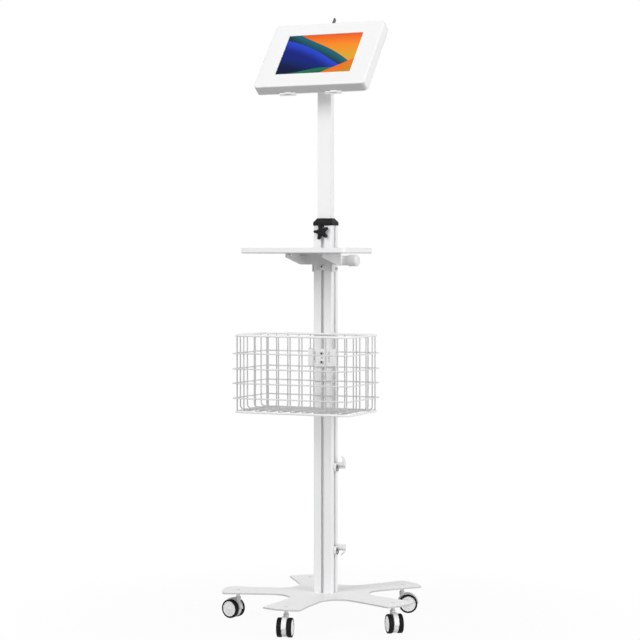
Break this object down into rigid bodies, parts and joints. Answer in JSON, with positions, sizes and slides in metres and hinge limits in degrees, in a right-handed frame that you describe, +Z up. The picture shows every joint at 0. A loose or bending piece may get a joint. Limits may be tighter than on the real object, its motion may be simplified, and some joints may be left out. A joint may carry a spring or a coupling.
{
  "type": "rolling tablet floor stand",
  "caption": "Rolling floor stand with a star base on twin-wheel casters, a slotted column, sliding mast, tray, wire basket, push handle and a tilting, locking tablet enclosure.",
  "frame": {"origin": "on the floor, under the column's axis", "axes": "+X to the stand's right as seen from the front, +Y to the back, +Z up along the column; the tray, the basket and the screen face -Y"},
  "size_m": [0.5358, 0.5215, 1.5852],
  "materials": {
    "white_coated_steel": "satin powder coat",
    "white_coated_aluminium": "white anodised",
    "grey_steel_sheet": "matte",
    "black_plastic": "moulded",
    "light_grey_plastic": "moulded",
    "white_plastic": "moulded",
    "nylon": "moulded",
    "zinc_steel": "zinc plated",
    "tyre": "matte",
    "tablet_shell": "matte",
    "tablet_glass": "gloss",
    "black_rubber": "matte"
  },
  "bodies": {
    "stand": {"base_plate": "white_coated_steel", "column_bolts": "zinc_steel", "caster_stems": "zinc_steel", "column": "white_coated_aluminium", "collar": "black_plastic", "guide_sleeve": "nylon", "clamp_nut": "zinc_steel", "tray": "white_coated_steel", "tray_bracket": "grey_steel_sheet", "tray_screws": "zinc_steel", "handle_arm": "white_coated_aluminium", "handle_bar": "white_plastic", "handle_caps": "white_plastic", "basket": "white_coated_steel", "basket_plate": "white_coated_steel", "cable_hooks": "white_plastic", "slot_screws": "zinc_steel", "slot_nuts": "zinc_steel"},
    "clamp": {"clamp_pad": "zinc_steel"},
    "knob": {"height_knob": "black_plastic", "knob_stud": "zinc_steel"},
    "mast": {"upper_tube": "white_coated_aluminium", "tube_guide": "nylon", "head_bracket": "white_coated_steel", "tilt_bolt": "zinc_steel", "tilt_nut": "zinc_steel"},
    "yoke": {"tilt_yoke": "white_coated_steel", "swivel_bolt": "zinc_steel"},
    "head": {"swivel_disc": "white_coated_steel", "disc_screws": "zinc_steel", "back_plate": "white_coated_steel", "tablet_body": "tablet_shell", "tablet_screen": "tablet_glass", "corner_pads": "black_rubber", "hinge_pins": "zinc_steel"},
    "cover": {"front_cover": "white_coated_steel", "lock_barrel": "zinc_steel"},
    "lock": {"lock_core": "zinc_steel", "lock_cam": "zinc_steel", "key": "zinc_steel"},
    "caster_front": {"caster_body_front": "light_grey_plastic", "caster_axle_front": "zinc_steel"},
    "wheel_left_front": {"wheel_left_front": "tyre"},
    "wheel_right_front": {"wheel_right_front": "tyre"},
    "caster_front_right": {"caster_body_front_right": "light_grey_plastic", "caster_axle_front_right": "zinc_steel"},
    "wheel_left_front_right": {"wheel_left_front_right": "tyre"},
    "wheel_right_front_right": {"wheel_right_front_right": "tyre"},
    "caster_right": {"caster_body_right": "light_grey_plastic", "caster_axle_right": "zinc_steel"},
    "wheel_left_right": {"wheel_left_right": "tyre"},
    "wheel_right_right": {"wheel_right_right": "tyre"},
    "caster_back": {"caster_body_back": "light_grey_plastic", "caster_axle_back": "zinc_steel"},
    "wheel_left_back": {"wheel_left_back": "tyre"},
    "wheel_right_back": {"wheel_right_back": "tyre"},
    "caster_left": {"caster_body_left": "light_grey_plastic", "caster_axle_left": "zinc_steel"},
    "wheel_left_left": {"wheel_left_left": "tyre"},
    "wheel_right_left": {"wheel_right_left": "tyre"}
  },
  "joints": [
    {"name": "clamp_slide", "type": "slide", "parent": "stand", "child": "clamp", "axis": [0, -1, 0], "range_m": [0, 0.0013]},
    {"name": "knob_turn", "type": "hinge", "parent": "clamp", "child": "knob", "pos_m": [0, -0.028, 1.021], "axis": [0, -1, 0], "range_deg": [0, 360]},
    {"name": "mast_slide", "type": "slide", "parent": "stand", "child": "mast", "axis": [0, 0, 1], "range_m": [-0.23, 0.05]},
    {"name": "head_tilt", "type": "hinge", "parent": "mast", "child": "yoke", "pos_m": [0, 0, 1.45], "axis": [1, 0, 0], "range_deg": [-45, 38.6]},
    {"name": "head_turn", "type": "hinge", "parent": "yoke", "child": "head", "pos_m": [0, 0, 1.45], "axis": [0, -0.7815, 0.6239], "range_deg": [0, 90]},
    {"name": "cover_hinge", "type": "hinge", "parent": "head", "child": "cover", "pos_m": [0, -0.09235, 1.37759], "axis": [1, 0, 0], "range_deg": [0, 110]},
    {"name": "lock_turn", "type": "hinge", "parent": "cover", "child": "lock", "pos_m": [0, 0.03269, 1.55186], "axis": [0, 0.6239, 0.7815], "range_deg": [0, 90]},
    {"name": "caster_swivel_front", "type": "hinge", "parent": "stand", "child": "caster_front", "pos_m": [0, -0.234, 0.055], "axis": [0, 0, 1], "continuous": true},
    {"name": "spin_left_front", "type": "hinge", "parent": "caster_front", "child": "wheel_left_front", "pos_m": [0.00446, -0.24937, 0.025], "axis": [0.9603, 0.279, 0], "continuous": true},
    {"name": "spin_right_front", "type": "hinge", "parent": "caster_front", "child": "wheel_right_front", "pos_m": [0.00446, -0.24937, 0.025], "axis": [0.9603, 0.279, 0], "continuous": true},
    {"name": "caster_swivel_front_right", "type": "hinge", "parent": "stand", "child": "caster_front_right", "pos_m": [0.22255, -0.07231, 0.055], "axis": [0, 0, 1], "continuous": true},
    {"name": "spin_left_front_right", "type": "hinge", "parent": "caster_front_right", "child": "wheel_left_front_right", "pos_m": [0.23249, -0.08485, 0.025], "axis": [0.7837, 0.6211, 0], "continuous": true},
    {"name": "spin_right_front_right", "type": "hinge", "parent": "caster_front_right", "child": "wheel_right_front_right", "pos_m": [0.23249, -0.08485, 0.025], "axis": [0.7837, 0.6211, 0], "continuous": true},
    {"name": "caster_swivel_right", "type": "hinge", "parent": "stand", "child": "caster_right", "pos_m": [0.13754, 0.18931, 0.055], "axis": [0, 0, 1], "continuous": true},
    {"name": "spin_left_right", "type": "hinge", "parent": "caster_right", "child": "wheel_left_right", "pos_m": [0.15199, 0.19617, 0.025], "axis": [-0.4289, 0.9033, 0], "continuous": true},
    {"name": "spin_right_right", "type": "hinge", "parent": "caster_right", "child": "wheel_right_right", "pos_m": [0.15199, 0.19617, 0.025], "axis": [-0.4289, 0.9033, 0], "continuous": true},
    {"name": "caster_swivel_back", "type": "hinge", "parent": "stand", "child": "caster_back", "pos_m": [-0.13754, 0.18931, 0.055], "axis": [0, 0, 1], "continuous": true},
    {"name": "spin_left_back", "type": "hinge", "parent": "caster_back", "child": "wheel_left_back", "pos_m": [-0.1498, 0.19959, 0.025], "axis": [-0.6428, -0.766, 0], "continuous": true},
    {"name": "spin_right_back", "type": "hinge", "parent": "caster_back", "child": "wheel_right_back", "pos_m": [-0.1498, 0.19959, 0.025], "axis": [-0.6428, -0.766, 0], "continuous": true},
    {"name": "caster_swivel_left", "type": "hinge", "parent": "stand", "child": "caster_left", "pos_m": [-0.22255, -0.07231, 0.055], "axis": [0, 0, 1], "continuous": true},
    {"name": "spin_left_left", "type": "hinge", "parent": "caster_left", "child": "wheel_left_left", "pos_m": [-0.23833, -0.0697, 0.025], "axis": [-0.1633, -0.9866, 0], "continuous": true},
    {"name": "spin_right_left", "type": "hinge", "parent": "caster_left", "child": "wheel_right_left", "pos_m": [-0.23833, -0.0697, 0.025], "axis": [-0.1633, -0.9866, 0], "continuous": true}
  ],
  "couplings": [
    {"joint": "clamp_slide", "follows": "knob_turn", "m_per_rad": 0.00019894}
  ]
}
